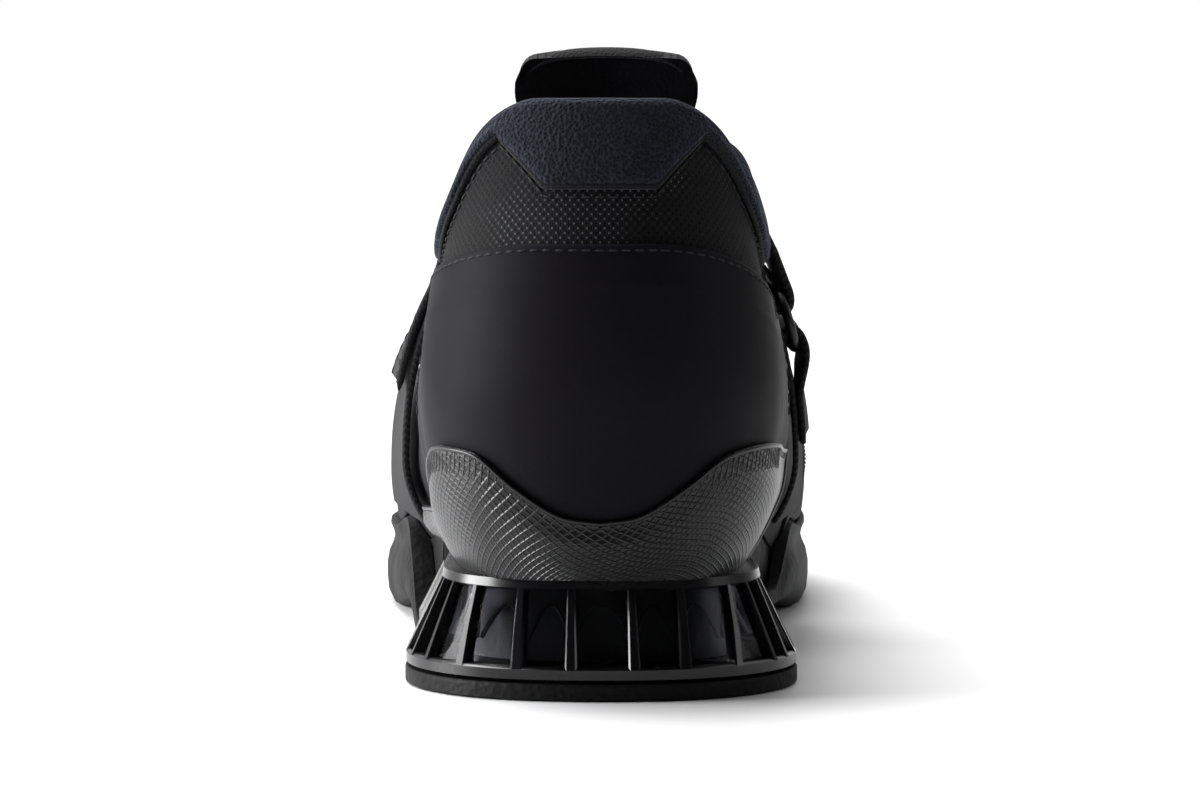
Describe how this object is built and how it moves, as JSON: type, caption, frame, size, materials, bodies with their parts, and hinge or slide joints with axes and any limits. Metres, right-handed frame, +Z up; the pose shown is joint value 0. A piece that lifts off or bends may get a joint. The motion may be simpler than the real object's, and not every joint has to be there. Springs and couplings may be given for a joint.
{
  "type": "weightlifting shoe",
  "caption": "Low-cut left weightlifting shoe with a raised ribbed heel, a wavy heel clip, a hollow laced upper and a tall tongue.",
  "frame": {"origin": "on the floor, under the middle of the shoe's box", "axes": "+Y from heel to toe, +X to the medial side, +Z up"},
  "size_m": [0.1056, 0.2966, 0.1402],
  "materials": {
    "outsole": "matte black rubber, pebbled side",
    "heel_cage": "smoky dark plastic, glossy",
    "heel_clip": "satin black plastic with a fine diamond texture",
    "midsole": "matte black foam",
    "upper": "black ribbed and perforated fabric",
    "insole": "black knit cover",
    "tongue": "padded black fabric with a bound edge",
    "heel_counter": "smooth near-black synthetic",
    "collar_cuff": "dark nubbly lining cloth",
    "eyestay": "smooth black synthetic",
    "toe_cap": "smooth black synthetic",
    "laces": "flat woven black lace",
    "strap": "black woven strap with hook and loop",
    "strap_ring": "moulded black plastic",
    "ring_anchor": "black webbing",
    "eyelets": "dark painted rings"
  },
  "bodies": {
    "root": {"outsole": "outsole", "heel_cage": "heel_cage", "heel_clip": "heel_clip", "midsole": "midsole", "upper": "upper", "insole": "insole", "tongue": "tongue", "heel_counter": "heel_counter", "collar_cuff": "collar_cuff", "eyestay": "eyestay", "toe_cap": "toe_cap", "laces": "laces", "strap": "strap", "strap_ring": "strap_ring", "ring_anchor": "ring_anchor", "eyelet_lateral_1": "eyelets", "eyelet_lateral_2": "eyelets", "eyelet_lateral_3": "eyelets", "eyelet_lateral_4": "eyelets", "eyelet_lateral_5": "eyelets", "eyelet_lateral_6": "eyelets", "eyelet_medial_1": "eyelets", "eyelet_medial_2": "eyelets", "eyelet_medial_3": "eyelets", "eyelet_medial_4": "eyelets", "eyelet_medial_5": "eyelets", "eyelet_medial_6": "eyelets"}
  },
  "joints": []
}
